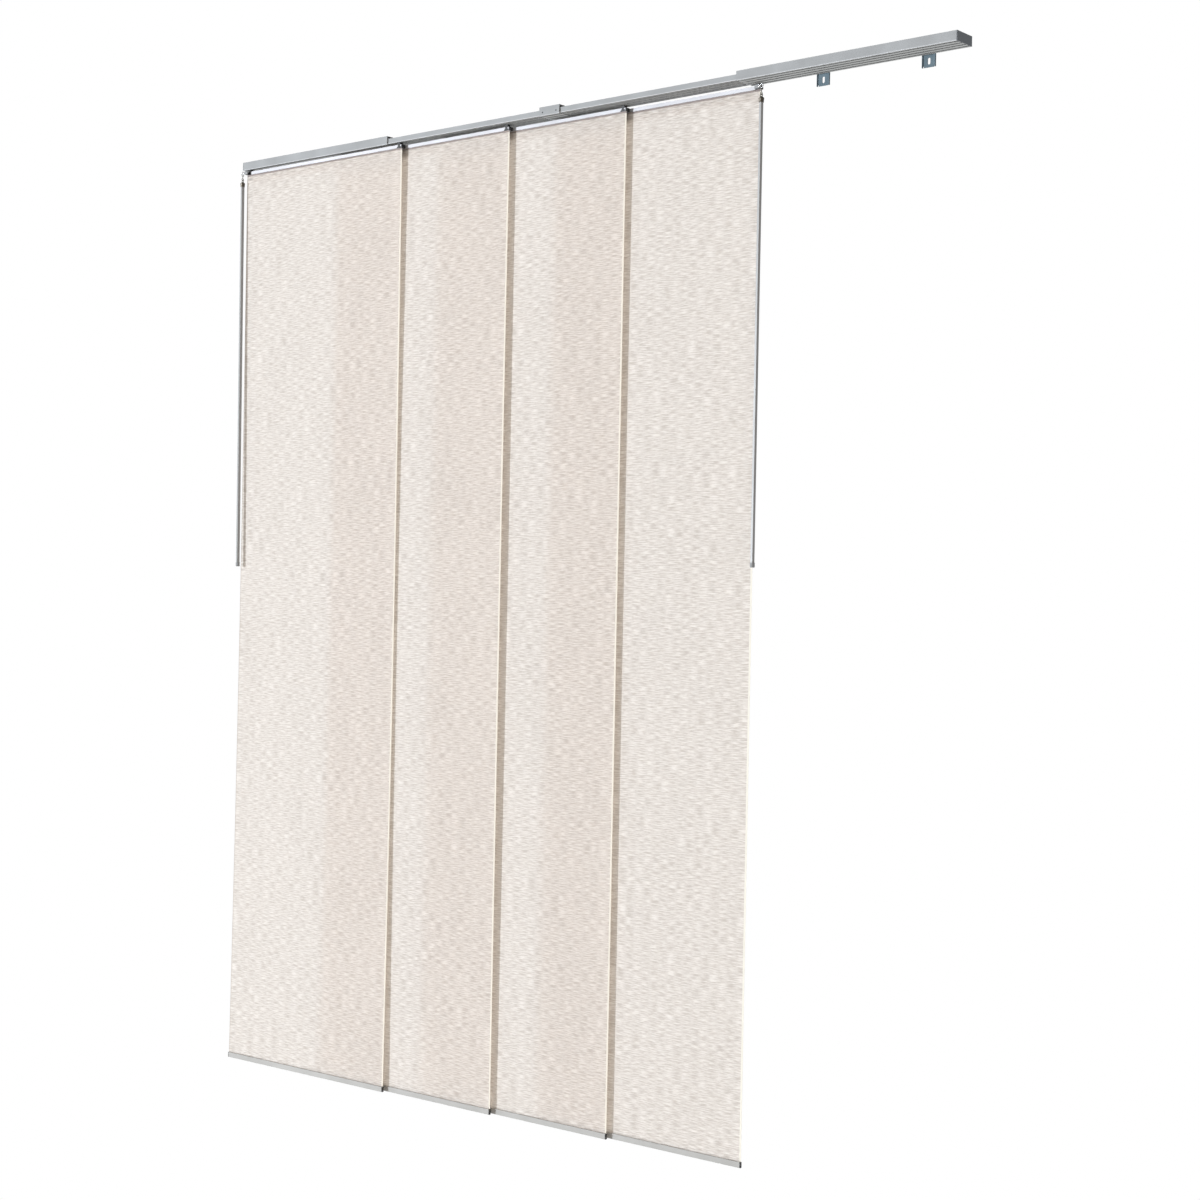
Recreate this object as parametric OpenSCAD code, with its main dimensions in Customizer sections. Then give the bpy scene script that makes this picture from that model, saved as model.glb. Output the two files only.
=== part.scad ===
// Panel track blind: a telescoping four-channel rail with four sliding fabric panels and two draw wands.
// X runs along the rail, Y runs from the room towards the wall, Z is up.
// The origin is midway between the ceiling screw holes, on the top face of the brackets.

/* [Rail] */
// Length of the whole rail when it is drawn out, end plate to end plate
rail_len = 2184; // [2000:1:2190]
// Length of each outer rail with its end plate
outer_len = 550; // [520:1:640]
// Length of the inner rails that stays inside each outer rail
inner_overlap = 33; // [20:1:60]
// Length of the sleeve that ties the inner rails together
sleeve_len = 62; // [50:1:90]
// Clear width of one channel of the outer rail
channel_w = 13.4; // [12.8:0.1:15]
// Thickness of the outer rail's side walls
side_wall = 1.4; // [1:0.1:2]
// Thickness of the webs between two channels
web_t = 1.2; // [0.8:0.1:2]
// Thickness of the lips under each channel
lip_t = 1.5; // [1:0.1:2]
// Width of the slot under each channel of the outer rail
outer_slot = 5.6; // [4.6:0.1:7]
// Thickness of the roof above the channels
roof_t = 1.4; // [1:0.1:2]
// Depth of the groove along the top of the outer rail
groove_h = 3.4; // [2.8:0.1:5]
// Width of the groove along the top, below its lips
groove_w = 26; // [24:0.5:30]
// Width of the groove's mouth, between its lips
mouth_w = 18; // [16:0.5:20]
// Thickness of the groove's lips
groove_lip_t = 1.3; // [1:0.1:2]
// Thickness of the plates that close the rail's ends
end_plate_t = 2; // [1.5:0.1:4]
// Length of the end plate's plug in the groove
end_plug_len = 12; // [6:1:20]

/* [Inner rails] */
// Outside width of an inner rail
inner_w = 9.6; // [9.2:0.1:10.4]
// Outside height of an inner rail
inner_h = 12.8; // [11.6:0.1:16]
// Wall of an inner rail
inner_wall = 1; // [0.8:0.1:1.2]
// Width of the slot under an inner rail
inner_slot = 4.2; // [3.6:0.1:4.6]
// Free space between the inner and the outer rails
slide_gap = 0.3; // [0.2:0.05:0.5]
// Height of the ribs that guide the inner rails
guide_rib_h = 1.2; // [0.8:0.1:2]
// Diameter of the grub screws in the sleeve
grub_d = 4; // [3:0.1:5]
// Distance of each grub screw from the sleeve's end
grub_inset = 10; // [8:1:20]

/* [Brackets] */
// Width of a bracket
bracket_w = 32; // [26:1:40]
// Thickness of the bracket's sheet
bracket_t = 1.5; // [1.2:0.1:2]
// Gap between the back of the rail and the bracket's wall leg
bracket_gap = 2.6; // [2:0.1:5]
// Reach of the wall leg below the rail
bracket_drop = 26; // [22:1:40]
// Reach of the ceiling leg in front of its screw hole
bracket_front = 14; // [12:0.5:18]
// Diameter of the ceiling screw hole
ceiling_hole_d = 5; // [4:0.1:6]
// Width of the wall screw slot
wall_slot_w = 6.4; // [5:0.1:8]
// Length of the wall screw slot
wall_slot_len = 14; // [10:0.5:16]
// Inner radius of the bracket's bend
bend_r = 1; // [0.5:0.1:2]
// Distance of the outer brackets from the rail's ends
bracket_far_in = 102; // [40:1:140]
// Distance of the inner brackets from the rail's ends
bracket_near_in = 363; // [300:1:480]

/* [Panels] */
// Width of a fabric panel
panel_w = 586; // [560:0.5:600]
// Drop from the ceiling to the underside of the bottom bars
drop = 2400; // [1500:1:2500]
// Left edge of the first panel, from the rail's left end
panel_1_at = 12.5; // [8:0.5:40]
// Left edge of the second panel, from the rail's left end
panel_2_at = 363; // [330:0.5:400]
// Left edge of the third panel, from the rail's left end
panel_3_at = 712.5; // [680:0.5:740]
// Left edge of the fourth panel, from the rail's left end
panel_4_at = 1082; // [1050:0.5:1110]
// Thickness of the fabric
fabric_t = 0.8; // [0.4:0.1:1.2]
// Distance from the rail's underside to the carrier
hang_gap = 5; // [4:0.1:8]
// Depth of the carrier's hollow head
carrier_d = 7; // [6.4:0.1:8]
// Height of the carrier's hollow head
carrier_h = 8; // [7:0.1:12]
// Wall of the carrier's head
carrier_wall = 1; // [0.8:0.1:1.2]
// Height of the carrier's blade, which holds the tape
blade_h = 22; // [18:0.5:30]
// Thickness of the carrier's blade
blade_t = 1.4; // [1:0.1:2]
// Thickness of the hook tape
tape_t = 1.2; // [0.8:0.1:1.6]
// Height of the hook tape
tape_h = 18; // [12:0.5:20]
// Thickness of the plugs in the carrier's ends
plug_t = 3; // [2:0.1:4]
// Height of the bottom bar
bar_h = 13; // [10:0.5:20]
// Depth of the bottom bar
bar_d = 6; // [4.5:0.1:7]
// Thickness of the caps on the bottom bar's ends
bar_cap_t = 1.6; // [1:0.1:3]

/* [Hangers] */
// Length of a hanger's saddle over the carrier
saddle_len = 14; // [12:0.5:14]
// Length of a hanger's flange under the rail
flange_len = 12; // [10:0.5:16]
// Length of a hanger's waist, its foot and its stem
waist_len = 5; // [4:0.5:6]
// Thickness of the saddle's cheeks
cheek_t = 1.3; // [1:0.1:1.5]
// Distance from a panel's edge to the middle of its hanger
hanger_inset = 10; // [10:0.5:30]
// Length of the slider inside the channel
slider_len = 18; // [14:0.5:18]
// Height of the slider inside the channel
slider_h = 7; // [5:0.1:8]
// Thickness of the stem that passes through the slot
stem_t = 2.8; // [2:0.1:3]
// Reach of the catches that let one panel draw the next
catch_reach = 4.7; // [4.2:0.1:4.8]

/* [Wands] */
// Width of a wand's six-sided rod, flat to flat
wand_d = 8.4; // [6:0.1:9]
// Length of a wand's rod
wand_len = 1022; // [500:1:1200]
// Distance from the panel's edge to the middle of the wand
wand_offset = 7.1; // [6.6:0.1:20]
// Distance of the wand in front of the middle of its channel
wand_forward = 12.7; // [9:0.1:14]
// Lean of the left wand towards its panel, in degrees
left_wand_lean = 0.7; // [0:0.1:0.9]
// Width of the wand arm's front plate
arm_w = 12; // [8:0.5:16]
// Thickness of the wand arm's front plate
arm_t = 1.6; // [1.2:0.1:2.4]
// Middle radius of the eye on the wand arm
eye_r = 4; // [3.6:0.1:5]
// Diameter of the eye's wire
eye_wire = 2; // [1.6:0.1:2.2]
// Middle radius of the hook's two loops
loop_r = 3; // [2.8:0.1:3.6]
// Diameter of the hook's wire
hook_wire = 1.6; // [1.2:0.1:1.8]
// Length of the straight part of the hook
shank_len = 6; // [4:0.5:24]
// Middle radius of the ring on top of a wand
ring_r = 3; // [2.8:0.1:3.6]
// Diameter of the wire of that ring
ring_wire = 1.8; // [1.4:0.1:1.8]
// Height of the metal ferrule on top of a wand
ferrule_h = 13; // [10:0.5:24]
// Wall of the ferrule
ferrule_wall = 0.5; // [0.3:0.1:1]
// Flare of the ferrule, from its foot to its shoulder
ferrule_flare = 1.6; // [0.5:0.1:3]
// Length of the plastic tip below a wand
tip_h = 8; // [5:0.5:16]

/* [Hidden] */
$fn = 48;
CHANNELS = 4;
// Free space around the slider, the stem's foot and other loose fits
run_gap = 0.3;
// Small overlap for cuts that pass right through
cut = 1;

pitch = channel_w + web_t;
rail_d = 2 * side_wall + CHANNELS * channel_w + (CHANNELS - 1) * web_t;
channel_h = inner_h + 2 * slide_gap;
outer_h = lip_t + channel_h + roof_t + groove_h + groove_lip_t;
rail_top = -bracket_t;
rail_bottom = rail_top - outer_h;
rail_left = -rail_len / 2;
inner_len = rail_len - 2 * outer_len + 2 * inner_overlap;
bracket_far = rail_len / 2 - bracket_far_in;
bracket_near = rail_len / 2 - bracket_near_in;
inner_bottom = rail_bottom + lip_t + slide_gap;
guide_rib_w = (channel_w - inner_w) / 2 - slide_gap;
body_len = outer_len - end_plate_t;
wall_plane = rail_d / 2 + bracket_gap + bracket_t;

carrier_top = rail_bottom - hang_gap;
blade_top = carrier_top - carrier_h;
fabric_top = blade_top - 2 * run_gap;
fabric_back = -blade_t / 2 - tape_t;
fabric_mid = fabric_back - fabric_t / 2;
bar_bottom = -drop;
bar_top = bar_bottom + bar_h;
bar_web = 4;
bar_chamfer = 0.8;
bar_slot = fabric_t + 2 * run_gap;

slider_w = inner_w - 2 * inner_wall - 2 * run_gap;
slider_bottom = inner_bottom + inner_wall + run_gap;
flange_top = rail_bottom - 2 * run_gap;
groove_in = carrier_d - 2 * carrier_wall;
stem_slot = stem_t + 2 * run_gap;
foot_h = 2.4;

eye_z = blade_top + carrier_h / 2;
loop_top_z = eye_z - eye_r + eye_wire / 2 + hook_wire / 2 + run_gap;
hook_top_z = loop_top_z - loop_r;
hook_low_z = hook_top_z - 2 * loop_r - shank_len;
ring_z = hook_low_z - loop_r + hook_wire / 2 + ring_wire / 2 + run_gap - ring_r;
ferrule_top = ring_z - ring_r;
ferrule_foot = ferrule_top - ferrule_h;
rod_corner_d = wand_d / cos(30);
rod_top = ferrule_top - ferrule_h / 2;
rod_foot = rod_top - wand_len;

PANEL_AT = [panel_1_at, panel_2_at, panel_3_at, panel_4_at];

function channel_y(k) = (k - 1 - (CHANNELS - 1) / 2) * pitch;
function panel_x(k) = rail_left + PANEL_AT[k - 1];
function hanger_x(k, side) = panel_x(k) + panel_w / 2 + side * (panel_w / 2 - hanger_inset);

// Extrudes a section drawn in Y and Z along X
module along_x(from, length) {
    translate([from, 0, 0])
        rotate([90, 0, 90])
            linear_extrude(length)
                children();
}

// A rectangle given by its middle in Y, its foot in Z, its width and its height
module block(mid, foot, w, h) {
    translate([mid - w / 2, foot])
        square([w, h]);
}

// Section of the outer rail and of the sleeve, with its four channels and the groove on top
module outer_section() {
    channel_foot = rail_bottom + lip_t;
    roof = channel_foot + channel_h + roof_t;
    difference() {
        block(0, rail_bottom, rail_d, outer_h);
        for (k = [1:CHANNELS]) {
            block(channel_y(k), channel_foot, channel_w, channel_h);
            block(channel_y(k), rail_bottom - cut, outer_slot, lip_t + 2 * cut);
        }
        block(0, roof, groove_w, groove_h);
        block(0, roof + groove_h - cut, mouth_w, groove_lip_t + 2 * cut);
        chamber_w = rail_d / 2 - side_wall - groove_w / 2 - web_t;
        for (side = [-1, 1])
            block(side * (groove_w / 2 + web_t + chamber_w / 2), roof, chamber_w, groove_h);
    }
    rib_levels = [inner_wall, channel_h - inner_wall - guide_rib_h];
    for (k = [1:CHANNELS], side = [-1, 1], level = rib_levels) {
        rib_y = channel_y(k) + side * (channel_w - guide_rib_w) / 2;
        block(rib_y, channel_foot + level, guide_rib_w, guide_rib_h);
    }
}

// Section of one inner rail, open below
module inner_section(k) {
    difference() {
        block(channel_y(k), inner_bottom, inner_w, inner_h);
        block(channel_y(k), inner_bottom + inner_wall, inner_w - 2 * inner_wall,
              inner_h - 2 * inner_wall);
        block(channel_y(k), inner_bottom - cut, inner_slot, inner_wall + 2 * cut);
    }
}

// Outer rail, on the left for side -1 and on the right for side 1
module outer_rail(side) {
    from = side < 0 ? rail_left + end_plate_t : -rail_left - outer_len;
    color("silver")
        along_x(from, body_len)
            outer_section();
}

// Plate that closes a rail's end, with a plug in the groove
module end_plate(side) {
    from = side < 0 ? rail_left : -rail_left - end_plate_t;
    plug_from = side < 0 ? rail_left + end_plate_t : -rail_left - end_plate_t - end_plug_len;
    color("gray") {
        along_x(from, end_plate_t)
            block(0, rail_bottom, rail_d, outer_h);
        along_x(plug_from, end_plug_len)
            block(0, rail_top - groove_lip_t - groove_h, groove_w, groove_h);
    }
}

module inner_rail(k) {
    color("lightgray")
        along_x(-inner_len / 2, inner_len)
            inner_section(k);
}

// Runs its children at both grub screws, along Y from the sleeve's front face
module at_grubs() {
    for (side = [-1, 1])
        translate([side * (sleeve_len / 2 - grub_inset), -rail_d / 2, inner_bottom + inner_h / 2])
            rotate([-90, 0, 0])
                children();
}

module centre_sleeve() {
    color("silver")
        difference() {
            along_x(-sleeve_len / 2, sleeve_len)
                outer_section();
            at_grubs()
                translate([0, 0, -cut])
                    cylinder(d = grub_d, h = side_wall + 2 * cut);
        }
}

// Grub screws that press on the front inner rail, with a hexagon socket
module sleeve_screws() {
    reach = (rail_d / 2 + channel_y(1)) - inner_w / 2;
    socket_d = grub_d / 2;
    color("dimgray")
        at_grubs()
            difference() {
                cylinder(d = grub_d, h = reach);
                translate([0, 0, -cut])
                    cylinder(d = socket_d, h = side_wall + cut, $fn = 6);
            }
}

// Slot with round ends, drilled along Z, long in X
module slot_cutter(w, length, depth) {
    straight = length - w;
    translate([-straight / 2, -w / 2, 0])
        cube([straight, w, depth]);
    for (side = [-1, 1])
        translate([side * straight / 2, 0, 0])
            cylinder(d = w, h = depth);
}

// Section of a bent sheet: a level leg that starts in front of Y 0 and an upright leg at the wall
module bent_sheet(front, height) {
    outer_r = bend_r + bracket_t;
    translate([-front, -bracket_t])
        square([front + wall_plane - outer_r, bracket_t]);
    translate([wall_plane - bracket_t, -height])
        square([bracket_t, height - outer_r]);
    intersection() {
        translate([wall_plane - outer_r, -outer_r])
            difference() {
                circle(r = outer_r);
                circle(r = bend_r);
            }
        translate([wall_plane - outer_r, -outer_r])
            square(outer_r);
    }
}

// Bent sheet bracket: a ceiling leg with tabs that grip the groove's lips, and a slotted wall leg
module bracket(x) {
    leg_foot = rail_bottom - bracket_drop;
    leg_h = -leg_foot;
    flange_d = bracket_gap - run_gap;
    notch_w = 2.4;
    notch_h = 3;
    tab_w = 8;
    tab_reach = 3;
    tab_inset = 2;
    tab_t = bracket_t - run_gap;
    tab_x = bracket_w / 2 - tab_w / 2 - tab_inset;
    tab_y = mouth_w / 2 - run_gap - tab_t;
    tab_foot = rail_top - groove_lip_t - run_gap / 2 - tab_t;
    slot_mid = rail_bottom - bracket_drop / 2;
    color("lightsteelblue")
        translate([x, 0, 0]) {
            difference() {
                union() {
                    along_x(-bracket_w / 2, bracket_w)
                        bent_sheet(bracket_front, leg_h);
                    for (from = [-bracket_w / 2, bracket_w / 2 - bracket_t])
                        translate([from, wall_plane - bracket_t - flange_d, leg_foot])
                            cube([bracket_t, flange_d + bracket_t / 2, leg_h - bracket_t - bend_r]);
                }
                translate([0, 0, -bracket_t - cut])
                    cylinder(d = ceiling_hole_d, h = bracket_t + 2 * cut);
                translate([0, wall_plane + cut, slot_mid])
                    rotate([90, 90, 0])
                        slot_cutter(wall_slot_w, wall_slot_len, bracket_t + 2 * cut);
                for (side = [-1, 1])
                    translate([side * (bracket_w / 2 - bracket_t - notch_w / 2) - notch_w / 2,
                               wall_plane - bracket_t - cut, leg_foot - cut])
                        cube([notch_w, bracket_t + 2 * cut, notch_h + cut]);
                for (side = [-1, 1], end = [-1, 1])
                    translate([side * tab_x - tab_w / 2, end > 0 ? tab_y - tab_reach : -tab_y,
                               -bracket_t - cut])
                        cube([tab_w, tab_reach, bracket_t + 2 * cut]);
            }
            for (side = [-1, 1], end = [-1, 1])
                translate([side * tab_x - tab_w / 2, 0, 0])
                    mirror([0, end < 0 ? 1 : 0, 0]) {
                        translate([0, tab_y, tab_foot])
                            cube([tab_w, tab_t, -bracket_t / 2 - tab_foot]);
                        translate([0, tab_y, tab_foot])
                            cube([tab_w, tab_t + tab_reach, tab_t]);
                    }
        }
}

// Section of a carrier: a hollow head with a slot on top, and a blade below it
module carrier_section() {
    difference() {
        block(0, blade_top, carrier_d, carrier_h);
        block(0, blade_top + carrier_wall, groove_in, carrier_h - 2 * carrier_wall);
        block(0, carrier_top - carrier_wall - cut, stem_slot, carrier_wall + 2 * cut);
    }
    block(0, blade_top - blade_h, blade_t, blade_h);
}

module carrier(k) {
    color("whitesmoke")
        translate([0, channel_y(k), 0])
            along_x(panel_x(k) + plug_t, panel_w - 2 * plug_t)
                carrier_section();
}

// Hanger: a slider in the channel, a stem through the slot, and a waisted saddle over the carrier
// A foot on the stem holds the carrier from inside
module hanger(k, side) {
    foot_w = groove_in - 2 * run_gap;
    foot_bottom = carrier_top - carrier_wall - run_gap - foot_h;
    straight = slider_len - slider_w;
    saddle_d = carrier_d + 2 * cheek_t;
    waist_z = (flange_top + blade_top) / 2;
    color("black")
        translate([hanger_x(k, side), channel_y(k), 0]) {
            translate([0, 0, slider_bottom]) {
                translate([-straight / 2, -slider_w / 2, 0])
                    cube([straight, slider_w, slider_h]);
                for (end = [-1, 1])
                    translate([end * straight / 2, 0, 0])
                        cylinder(d = slider_w, h = slider_h);
            }
            translate([-waist_len / 2, -stem_t / 2, foot_bottom])
                cube([waist_len, stem_t, slider_bottom + slider_h / 2 - foot_bottom]);
            translate([-waist_len / 2, -foot_w / 2, foot_bottom])
                cube([waist_len, foot_w, foot_h]);
            difference() {
                translate([0, saddle_d / 2, 0])
                    rotate([90, 0, 0])
                        linear_extrude(saddle_d)
                            polygon([
                                [-flange_len / 2, flange_top], [flange_len / 2, flange_top],
                                [waist_len / 2, waist_z], [saddle_len / 2, blade_top],
                                [-saddle_len / 2, blade_top], [-waist_len / 2, waist_z]
                            ]);
                translate([-saddle_len, -carrier_d / 2, blade_top - cut])
                    cube([2 * saddle_len, carrier_d, carrier_h + cut]);
            }
        }
}

// Plugs that close a carrier's two ends, with a lug inside the head
// A catch points back at the right end, except on the last panel
// On even panels another one points forward at the left end
module carrier_plugs(k) {
    lug_len = hanger_inset - waist_len / 2 - plug_t - run_gap;
    lug_w = groove_in - run_gap;
    lug_h = carrier_h - 2 * carrier_wall - run_gap;
    color("black")
        for (side = [-1, 1])
            translate([panel_x(k) + (side > 0 ? panel_w : 0), channel_y(k), 0]) {
                has_catch = side > 0 ? k < CHANNELS : k % 2 == 0;
                catch_d = has_catch ? catch_reach : 0;
                along_x(side > 0 ? -plug_t : 0, plug_t)
                    block(side * catch_d / 2, blade_top, carrier_d + catch_d, carrier_h);
                along_x(side > 0 ? -plug_t - lug_len : plug_t, lug_len)
                    block(0, blade_top + carrier_wall + run_gap / 2, lug_w, lug_h);
            }
}

module hook_tape(k) {
    color("ivory")
        translate([0, channel_y(k) - blade_t / 2 - tape_t / 2, 0])
            along_x(panel_x(k) + plug_t, panel_w - 2 * plug_t)
                block(0, blade_top - blade_h + (blade_h - tape_h) / 2, tape_t, tape_h);
}

module fabric(k) {
    color("linen")
        translate([0, channel_y(k) + fabric_mid, 0])
            along_x(panel_x(k), panel_w)
                block(0, bar_bottom + bar_web, fabric_t, fabric_top - bar_bottom - bar_web);
}

// Section of the bottom bar without its slot, with broken edges
module bar_outline() {
    half = bar_d / 2;
    polygon([
        [-half + bar_chamfer, bar_bottom], [half - bar_chamfer, bar_bottom],
        [half, bar_bottom + bar_chamfer], [half, bar_top - bar_chamfer],
        [half - bar_chamfer, bar_top], [-half + bar_chamfer, bar_top],
        [-half, bar_top - bar_chamfer], [-half, bar_bottom + bar_chamfer]
    ]);
}

module bottom_bar(k) {
    color("gainsboro")
        translate([0, channel_y(k) + fabric_mid, 0])
            along_x(panel_x(k) + bar_cap_t, panel_w - 2 * bar_cap_t)
                difference() {
                    bar_outline();
                    block(0, bar_bottom + bar_web, bar_slot, bar_h);
                }
}

// Caps on a bottom bar's two ends, slotted for the fabric
module bar_caps(k) {
    color("dimgray")
        translate([0, channel_y(k) + fabric_mid, 0])
            for (from = [panel_x(k), panel_x(k) + panel_w - bar_cap_t])
                along_x(from, bar_cap_t)
                    difference() {
                        bar_outline();
                        block(0, bar_bottom + bar_web, bar_slot, bar_h);
                    }
}

// Ring of round wire about the Z axis
module wire_ring(r, wire) {
    rotate_extrude()
        translate([r, 0])
            circle(d = wire);
}

// Moves its children to the end of the carrier that draws the first panel (side -1) or the last (side 1)
module at_lead_end(side) {
    k = side < 0 ? 1 : CHANNELS;
    edge = panel_x(k) + (side > 0 ? panel_w : 0);
    translate([edge, channel_y(k), 0])
        children();
}

// Moves its children to the axis of a wand
module at_wand(side) {
    at_lead_end(side)
        translate([side * wand_offset, -wand_forward, 0])
            children();
}

// Moves its children to what hangs from an eye: the left wand leans a little towards its panel
module at_hanging(side) {
    at_wand(side)
        translate([0, 0, eye_z])
            rotate([0, side < 0 ? -left_wand_lean : 0, 0])
                translate([0, 0, -eye_z])
                    children();
}

// Grey arm that reaches forward from the end plug and ends in a front plate
module wand_arm(side) {
    reach = wand_forward + arm_t / 2 - carrier_d / 2;
    color("silver")
        at_lead_end(side) {
            translate([side > 0 ? -plug_t : 0, -carrier_d / 2 - reach, blade_top])
                cube([plug_t, reach, carrier_h]);
            translate([side > 0 ? -arm_w : 0, -carrier_d / 2 - reach, blade_top])
                cube([arm_w, arm_t, carrier_h]);
        }
}

// Eye on the wand arm, with a straight shank
module eye(side) {
    shank_share = 1.2;
    shank_d = shank_share * eye_wire;
    color("silver")
        at_wand(side)
            translate([0, 0, eye_z]) {
                rotate([90, 0, 0])
                    wire_ring(eye_r, eye_wire);
                rotate([0, -side * 90, 0])
                    translate([0, 0, eye_r])
                        cylinder(d = shank_d, h = wand_offset - eye_r);
            }
}

// Wire hook with a loop at each end
module hook(side) {
    color("dimgray")
        at_hanging(side) {
            for (z = [hook_top_z, hook_low_z])
                translate([0, 0, z])
                    rotate([0, 90, 0])
                        wire_ring(loop_r, hook_wire);
            translate([0, 0, hook_low_z + loop_r])
                cylinder(d = hook_wire, h = shank_len);
        }
}

// Metal ferrule with a ring on top, a shoulder, a flared body and a socket for the rod
module wand_ferrule(side) {
    foot_d = rod_corner_d + 2 * ferrule_wall;
    shoulder_d = foot_d + ferrule_flare;
    shoulder_h = ferrule_h / 4;
    color("dimgray")
        at_hanging(side) {
            translate([0, 0, ring_z])
                rotate([90, 0, 0])
                    wire_ring(ring_r, ring_wire);
            translate([0, 0, ferrule_foot])
                difference() {
                    union() {
                        cylinder(d1 = foot_d, d2 = shoulder_d, h = ferrule_h - shoulder_h);
                        translate([0, 0, ferrule_h - shoulder_h])
                            cylinder(d1 = shoulder_d, d2 = foot_d / 2, h = shoulder_h);
                    }
                    translate([0, 0, -cut])
                        cylinder(d = rod_corner_d, h = rod_top - ferrule_foot + cut, $fn = 6);
                }
        }
}

// Six-sided rod of a wand
module wand(side) {
    color("lightgray")
        at_hanging(side)
            translate([0, 0, rod_foot])
                cylinder(d = rod_corner_d, h = wand_len, $fn = 6);
}

// Rounded plastic tip that closes the rod's lower end
module wand_tip(side) {
    outer_d = rod_corner_d + 2 * ferrule_wall;
    dome_r = outer_d / 2;
    color("gray")
        at_hanging(side)
            difference() {
                union() {
                    translate([0, 0, rod_foot])
                        cylinder(d = outer_d, h = tip_h);
                    intersection() {
                        translate([0, 0, rod_foot])
                            sphere(r = dome_r);
                        translate([0, 0, rod_foot - dome_r / 2])
                            cylinder(d = 2 * outer_d, h = dome_r);
                    }
                }
                translate([0, 0, rod_foot])
                    cylinder(d = rod_corner_d, h = tip_h + cut, $fn = 6);
            }
}

outer_rail(-1);  // outer_rail_left
outer_rail(1);  // outer_rail_right
end_plate(-1);  // end_plate_left
end_plate(1);  // end_plate_right
centre_sleeve();
sleeve_screws();
bracket(-bracket_far);  // bracket_left_far
bracket(-bracket_near);  // bracket_left_near
bracket(bracket_near);  // bracket_right_near
bracket(bracket_far);  // bracket_right_far
for (k = [1:CHANNELS]) {
    inner_rail(k);
    carrier(k);
    hanger(k, -1);
    hanger(k, 1);
    carrier_plugs(k);
    hook_tape(k);
    fabric(k);
    bottom_bar(k);
    bar_caps(k);
}
wand_arm(-1);  // wand_arm_left
wand_arm(1);  // wand_arm_right
eye(-1);  // eye_left
eye(1);  // eye_right
hook(-1);  // hook_left
hook(1);  // hook_right
wand_ferrule(-1);  // wand_ferrule_left
wand_ferrule(1);  // wand_ferrule_right
wand(-1);  // wand_left
wand(1);  // wand_right
wand_tip(-1);  // wand_tip_left
wand_tip(1);  // wand_tip_right
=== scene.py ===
# Looks of the panel track blind: finishes, woven panels, hook strips, studio and camera
import math

import bpy
from mathutils import Matrix, Vector


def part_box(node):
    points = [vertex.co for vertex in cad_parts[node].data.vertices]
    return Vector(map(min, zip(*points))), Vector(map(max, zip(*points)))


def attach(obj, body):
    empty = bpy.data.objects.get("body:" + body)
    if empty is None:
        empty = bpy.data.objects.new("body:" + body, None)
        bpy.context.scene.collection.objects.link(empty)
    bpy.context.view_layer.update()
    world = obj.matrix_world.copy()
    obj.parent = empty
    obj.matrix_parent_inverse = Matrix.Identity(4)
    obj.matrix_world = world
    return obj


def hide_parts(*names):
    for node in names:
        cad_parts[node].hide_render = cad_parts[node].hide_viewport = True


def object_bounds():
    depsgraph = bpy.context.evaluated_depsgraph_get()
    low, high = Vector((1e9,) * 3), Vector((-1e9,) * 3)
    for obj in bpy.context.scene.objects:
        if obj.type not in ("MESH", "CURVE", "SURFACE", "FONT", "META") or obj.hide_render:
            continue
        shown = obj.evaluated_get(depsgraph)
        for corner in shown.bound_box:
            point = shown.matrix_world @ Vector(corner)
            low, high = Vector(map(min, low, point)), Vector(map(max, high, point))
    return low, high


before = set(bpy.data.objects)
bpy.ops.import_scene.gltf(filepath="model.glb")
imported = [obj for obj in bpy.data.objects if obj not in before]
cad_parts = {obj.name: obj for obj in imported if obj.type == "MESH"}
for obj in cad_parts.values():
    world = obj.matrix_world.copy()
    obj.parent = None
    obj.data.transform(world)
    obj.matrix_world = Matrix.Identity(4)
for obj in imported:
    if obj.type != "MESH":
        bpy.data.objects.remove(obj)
cad_low, cad_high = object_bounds()

PANELS = (1, 2, 3, 4)

# Camera of the photograph: its place in metres, its turn in degrees and its lens
CAMERA_PLACE = (3.2293, -3.6980, -1.1942)
CAMERA_YAW = 39.69
CAMERA_PITCH = 0.38
CAMERA_ROLL = 1.145
LENS_MM = 62.38
SENSOR_MM = 36.0

# Studio: key light from the front left, top light, surround dimmer on the right and behind, pale floor
KEY_LEFT_DEG = 31.0
KEY_ABOVE_DEG = 4.0
KEY_STRENGTH = 2.72
KEY_DISTANCE = 17.0
KEY_COLOUR = (0.91, 0.97, 1.04)
KEY_SPREAD_DEG = 1.0
TOP_STRENGTH = 1.3
TOP_SPREAD_DEG = 4.0
SURROUND_BRIGHT = (0.51, 0.51, 0.51)
SURROUND_DIM = (0.26, 0.205, 0.13)
SURROUND_DIM_WAY = (0.80, -0.60, 0.0)
SURROUND_DIM_RANGE = (0.1, 0.95)
SURROUND_BACK = (0.335, 0.382, 0.432)
SURROUND_BACK_RANGE = (0.0, 0.4)
WHITE = (1.0, 1.0, 1.0, 1.0)
FLOOR_BELOW = 0.03
FLOOR_HALF = 30.0
FLOOR_GLOW = 0.88

# Woven panels, in metres: slubs and threads, the painted highlight and painted shade bands along the edges,
# and each panel's bow
SLUB_LENGTH = 0.024
SLUB_HEIGHT = 0.0023
SLUB_RELIEF = 0.0003
THREAD = 0.0009
RIGHT_HIGHLIGHT_WIDTH = 0.005
LEFT_SHADE_WIDTH = 0.0032
TOP_SHADE_WIDTH = 0.0042
BAR_SHADE = 0.0025
BAR_COVER = 0.009
PANEL_BOW = {1: -0.0055, 2: 0.001, 3: -0.0008, 4: 0.0002}

# Panel meshes: points, noise of the relief, welding distance in metres, and the turn in radians kept sharp
FABRIC_COLUMNS = 40
FABRIC_ROWS = 1000
RELIEF_SCALE = 0.5
SEED_STEP = 10.0
WELD = 1e-6
SHARP_TURN = 0.6

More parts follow.
